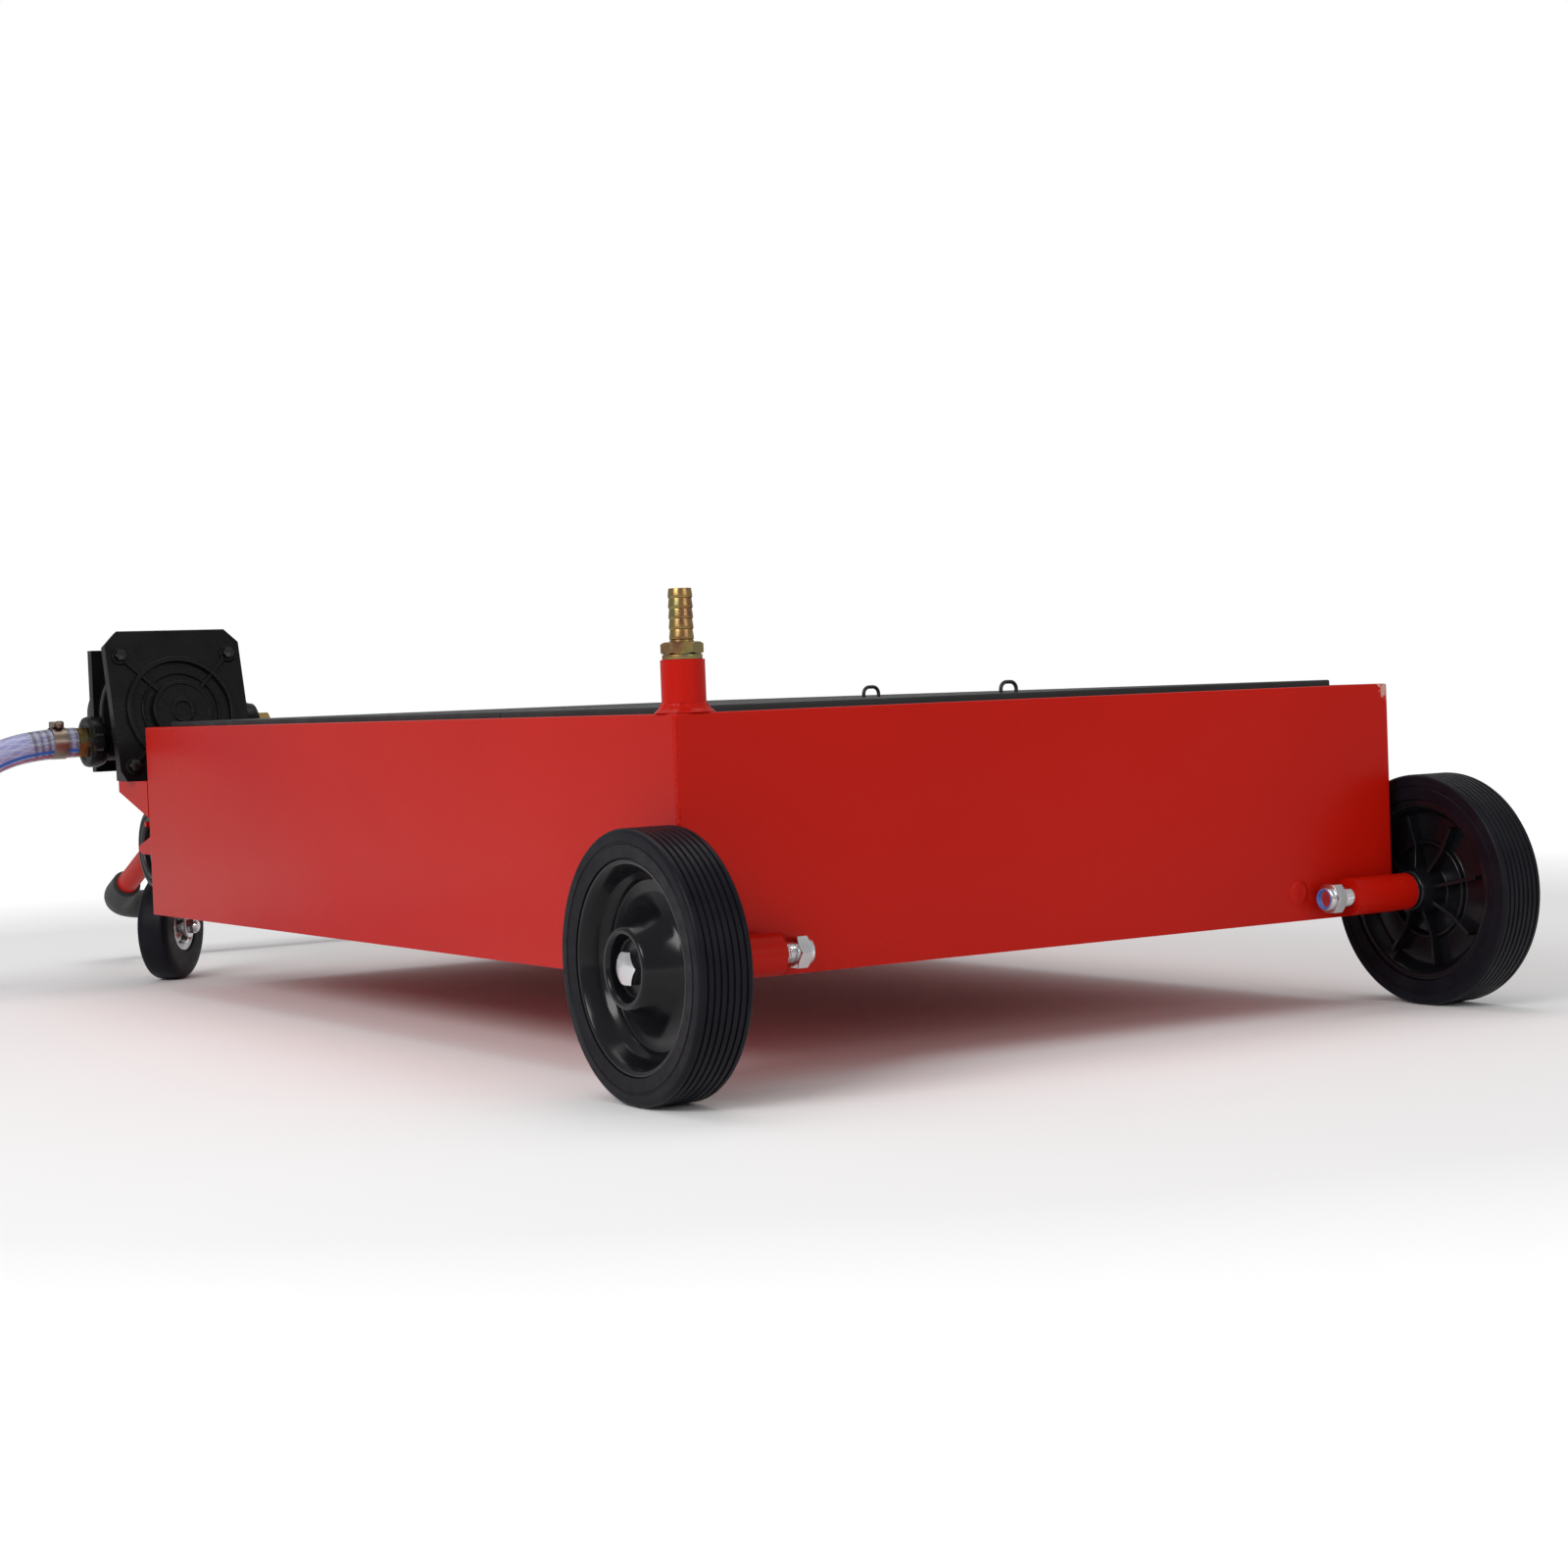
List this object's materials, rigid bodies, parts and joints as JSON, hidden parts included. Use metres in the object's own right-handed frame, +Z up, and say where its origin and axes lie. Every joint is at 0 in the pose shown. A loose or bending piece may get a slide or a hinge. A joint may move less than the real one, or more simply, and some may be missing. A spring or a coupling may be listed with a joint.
{
  "type": "waste oil drain tank",
  "caption": "Low steel drain tank on two fixed wheels and swivel casters, with lift-off screens, corner suction pipe, tow handle, electric transfer pump and hose.",
  "frame": {"origin": "on the floor below the centre of the box round everything but the hose, the lead and what is on them", "axes": "+X towards the end with the two fixed wheels, +Y towards the side away from the pump, +Z up"},
  "size_m": [1.744, 1.4025, 0.391],
  "materials": {
    "paint": "gloss enamel",
    "black_screen": "satin",
    "zinc": "yellow zinc plate",
    "steel": "bright zinc plate",
    "tyre": "matt rubber",
    "hub_plastic": "gloss",
    "foam": "matt foam",
    "cast_black": "black enamel",
    "motor_black": "black enamel",
    "black_steel": "black oxide",
    "black_plastic": "matt",
    "hose": "clear braided vinyl",
    "lead": "matt"
  },
  "bodies": {
    "tank": {"axle_bolt_far": "steel", "axle_bolt_near": "steel", "axle_nuts": "steel", "axle_tube_far": "paint", "axle_tube_near": "paint", "axle_washers": "steel", "cable_hook": "paint", "caster_kingpin_far": "steel", "caster_kingpin_near": "steel", "caster_mount_far": "paint", "caster_mount_near": "paint", "discharge_hose": "hose", "drain_plug": "steel", "fan_cover": "black_plastic", "handle_pins": "steel", "hose_clamp": "zinc", "hose_coil": "hose", "hose_end_fitting": "zinc", "lead_coil": "lead", "lead_keeper": "paint", "lead_strain_relief": "black_plastic", "motor_housing": "motor_black", "power_lead": "lead", "power_plug": "black_plastic", "pump_body": "cast_black", "pump_cover_screws": "black_steel", "pump_foot_bolts": "black_steel", "pump_front_cover": "cast_black", "pump_inlet_fitting": "zinc", "pump_outlet_fitting": "zinc", "pump_port_bolts": "black_steel", "pump_port_flanges": "cast_black", "pump_shelf": "paint", "screen_ledges": "paint", "suction_barb": "zinc", "suction_tube": "paint", "suction_weld": "paint", "switch_box": "black_plastic", "tank_shell": "paint"},
    "wheel_near": {"wheel_hub_near": "hub_plastic", "wheel_tyre_near": "tyre"},
    "wheel_far": {"wheel_hub_far": "hub_plastic", "wheel_tyre_far": "tyre"},
    "caster_near": {"caster_fork_near": "steel", "caster_axle_near": "steel"},
    "caster_far": {"caster_fork_far": "steel", "caster_axle_far": "steel"},
    "caster_wheel_near": {"caster_rim_near": "steel", "caster_tyre_near": "tyre"},
    "caster_wheel_far": {"caster_rim_far": "steel", "caster_tyre_far": "tyre"},
    "handle": {"handle_tube": "paint", "handle_grip": "foam"},
    "filter_screen": {"filter_screen": "black_screen", "screen_loops": "black_screen"},
    "cover_screen": {"cover_screen": "black_screen"},
    "pump_rotor": {"pump_rotor": "black_steel", "motor_fan": "black_plastic"},
    "rocker_switch": {"rocker_switch": "black_plastic"}
  },
  "joints": [
    {"name": "wheel_near_spin", "type": "hinge", "parent": "tank", "child": "wheel_near", "pos_m": [0.72925, -0.395, 0.1015], "axis": [0, 1, 0], "continuous": true},
    {"name": "wheel_far_spin", "type": "hinge", "parent": "tank", "child": "wheel_far", "pos_m": [0.72925, 0.395, 0.1015], "axis": [0, 1, 0], "continuous": true},
    {"name": "caster_near_swivel", "type": "hinge", "parent": "tank", "child": "caster_near", "pos_m": [-0.53675, -0.285, 0], "axis": [0, 0, 1], "continuous": true},
    {"name": "caster_far_swivel", "type": "hinge", "parent": "tank", "child": "caster_far", "pos_m": [-0.53675, 0.285, 0], "axis": [0, 0, 1], "continuous": true},
    {"name": "caster_wheel_near_spin", "type": "hinge", "parent": "caster_near", "child": "caster_wheel_near", "pos_m": [-0.51946, -0.30164, 0.059], "axis": [0.6934, 0.7206, 0], "continuous": true},
    {"name": "caster_wheel_far_spin", "type": "hinge", "parent": "caster_far", "child": "caster_wheel_far", "pos_m": [-0.51685, 0.29842, 0.059], "axis": [-0.5592, 0.829, 0], "continuous": true},
    {"name": "handle_hinge", "type": "hinge", "parent": "tank", "child": "handle", "pos_m": [-0.56675, 0, 0.177], "axis": [0, 1, 0], "range_deg": [0, 45]},
    {"name": "filter_screen_lift", "type": "slide", "parent": "tank", "child": "filter_screen", "axis": [0, 0, 1], "range_m": [0, 0.25]},
    {"name": "cover_screen_lift", "type": "slide", "parent": "tank", "child": "cover_screen", "axis": [0, 0, 1], "range_m": [0, 0.25]},
    {"name": "pump_rotor_spin", "type": "hinge", "parent": "tank", "child": "pump_rotor", "pos_m": [-0.54975, -0.303, 0.3], "axis": [1, 0, 0], "continuous": true},
    {"name": "rocker_switch_tilt", "type": "hinge", "parent": "tank", "child": "rocker_switch", "pos_m": [-0.58675, -0.303, 0.368], "axis": [0, 1, 0], "range_deg": [-5, 5]}
  ]
}
